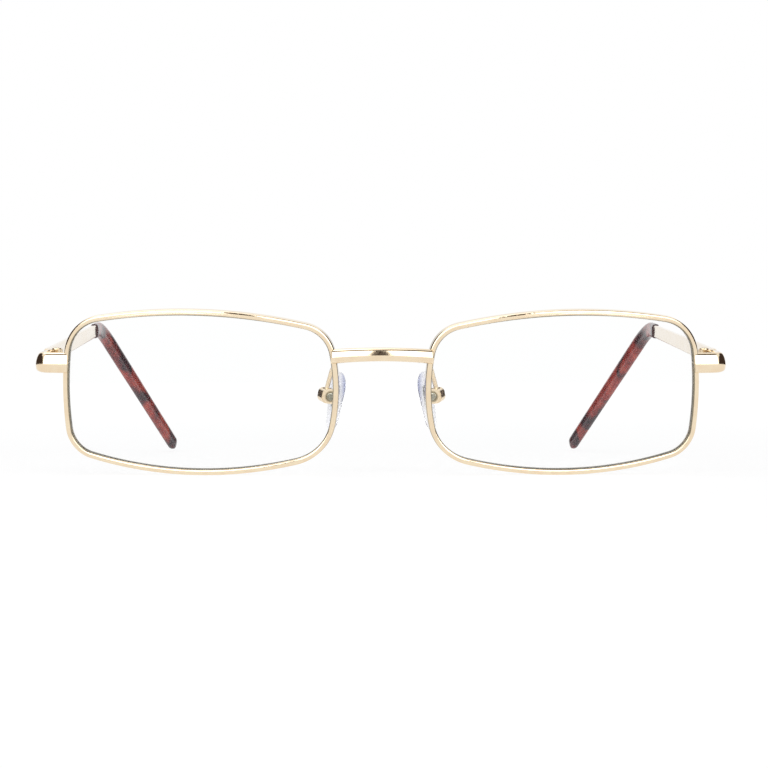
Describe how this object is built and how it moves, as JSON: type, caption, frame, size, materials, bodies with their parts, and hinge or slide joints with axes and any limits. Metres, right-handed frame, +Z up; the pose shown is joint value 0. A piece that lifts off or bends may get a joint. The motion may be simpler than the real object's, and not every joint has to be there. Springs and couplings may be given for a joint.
{
  "type": "rectangular eyeglasses",
  "caption": "Rectangular full-rim metal eyeglasses with clear lenses, adjustable clear nose pads, folding flat temples and tortoise tips that bend down and inward.",
  "frame": {"origin": "on the table, under the middle of the open glasses", "axes": "+X to the wearer's left, across the mirror plane; -Y out through the lenses; +Z up from the table"},
  "size_m": [0.14, 0.1432, 0.0335],
  "materials": {
    "gold_metal": "polished champagne gold plate",
    "screw_steel": "polished",
    "lens_clear": "clear",
    "pad_clear": "clear soft",
    "tip_tortoise": "polished tortoise acetate"
  },
  "bodies": {
    "front": {"bridge": "gold_metal", "left_rim": "gold_metal", "left_lens": "lens_clear", "left_end_piece": "gold_metal", "left_rim_lock_upper": "gold_metal", "left_rim_lock_lower": "gold_metal", "left_rim_screw": "screw_steel", "left_front_hinge": "gold_metal", "left_hinge_screw": "screw_steel", "left_pad_box": "gold_metal", "left_pad_arm": "gold_metal", "left_pad_screw": "screw_steel", "right_rim": "gold_metal", "right_lens": "lens_clear", "right_end_piece": "gold_metal", "right_rim_lock_upper": "gold_metal", "right_rim_lock_lower": "gold_metal", "right_rim_screw": "screw_steel", "right_front_hinge": "gold_metal", "right_hinge_screw": "screw_steel", "right_pad_box": "gold_metal", "right_pad_arm": "gold_metal", "right_pad_screw": "screw_steel"},
    "left_temple": {"left_temple": "gold_metal", "left_temple_tip": "tip_tortoise", "left_temple_hinge": "gold_metal"},
    "right_temple": {"right_temple": "gold_metal", "right_temple_tip": "tip_tortoise", "right_temple_hinge": "gold_metal"},
    "left_pad": {"left_nose_pad": "pad_clear", "left_pad_core": "screw_steel"},
    "right_pad": {"right_nose_pad": "pad_clear", "right_pad_core": "screw_steel"}
  },
  "joints": [
    {"name": "left_temple_fold", "type": "hinge", "parent": "front", "child": "left_temple", "pos_m": [0.06643, -0.05782, 0.0239], "axis": [0, -0.0837, 0.9965], "range_deg": [0, 85]},
    {"name": "right_temple_fold", "type": "hinge", "parent": "front", "child": "right_temple", "pos_m": [-0.06643, -0.05782, 0.0239], "axis": [0, 0.0837, -0.9965], "range_deg": [0, 72]},
    {"name": "left_pad_rock", "type": "hinge", "parent": "front", "child": "left_pad", "pos_m": [0.01088, -0.05987, 0.01603], "axis": [0.342, 0.9268, 0.1551], "range_deg": [-8, 8]},
    {"name": "right_pad_rock", "type": "hinge", "parent": "front", "child": "right_pad", "pos_m": [-0.01088, -0.05987, 0.01603], "axis": [0.342, -0.9268, -0.1551], "range_deg": [-8, 8]}
  ]
}
